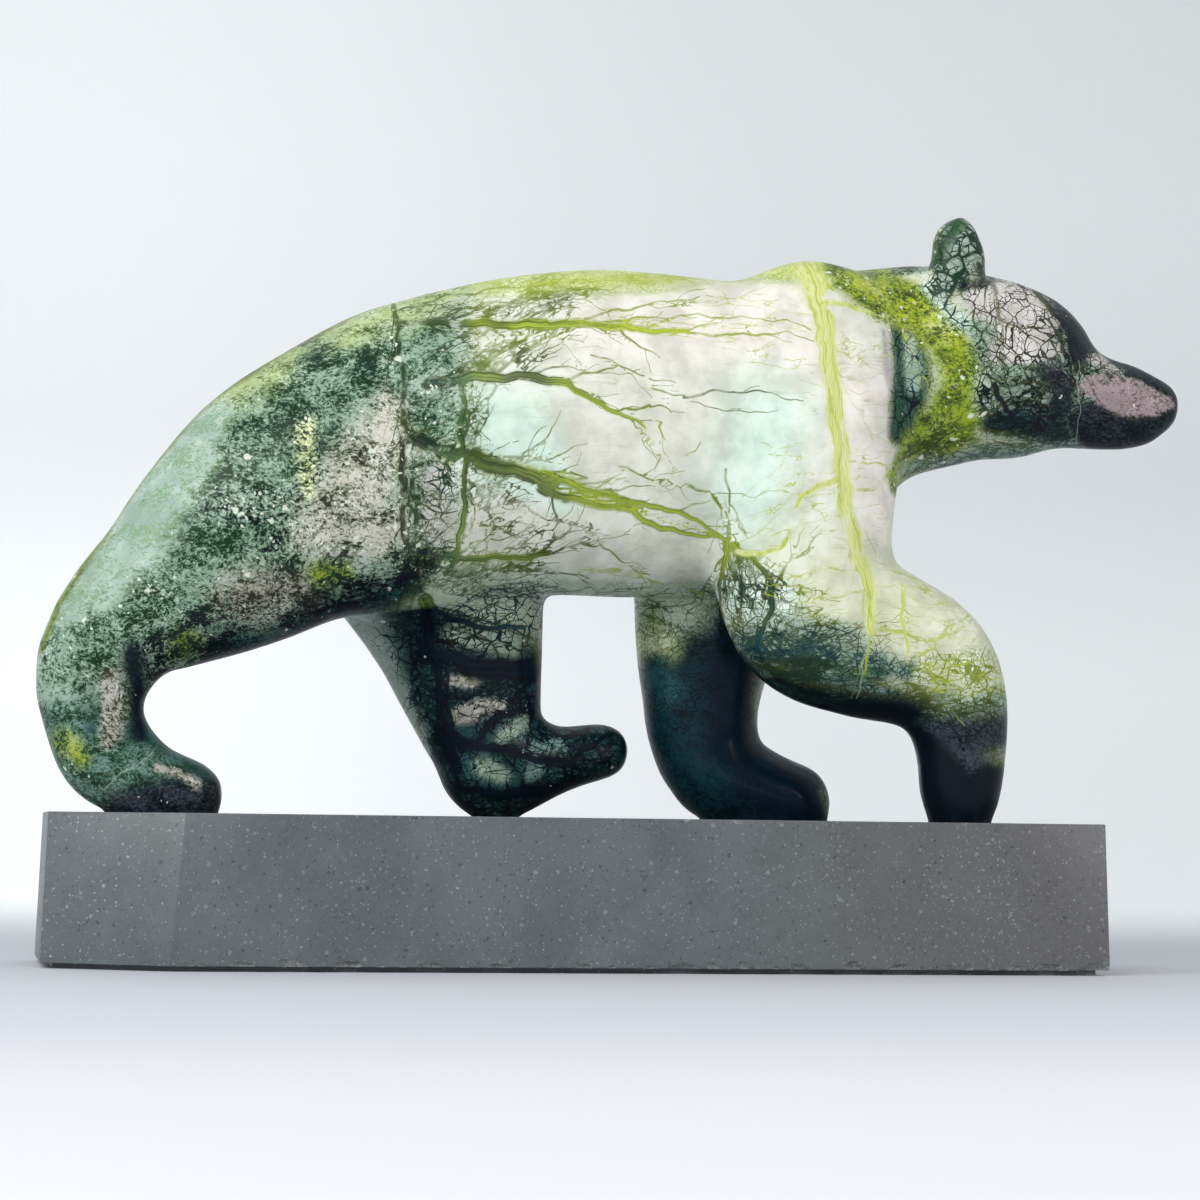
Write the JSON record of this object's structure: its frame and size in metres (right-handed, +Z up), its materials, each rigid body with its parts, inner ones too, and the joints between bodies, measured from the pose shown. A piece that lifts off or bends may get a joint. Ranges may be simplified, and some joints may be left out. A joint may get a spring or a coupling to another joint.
{
  "type": "stone bear carving",
  "caption": "Walking bear carved from one block of veined green stone, standing on a sawn dark stone plinth with a cut front corner.",
  "frame": {"origin": "middle of the plinth's underside", "axes": "+X from the bear's tail to its nose along the plinth, +Y to the bear's left, +Z up"},
  "size_m": [0.6648, 0.1608, 0.4389],
  "materials": {
    "bear_stone": "polished green and cream veined stone",
    "plinth_stone": "honed dark grey stone with pale flecks"
  },
  "bodies": {
    "root": {"bear": "bear_stone", "plinth": "plinth_stone"}
  },
  "joints": []
}
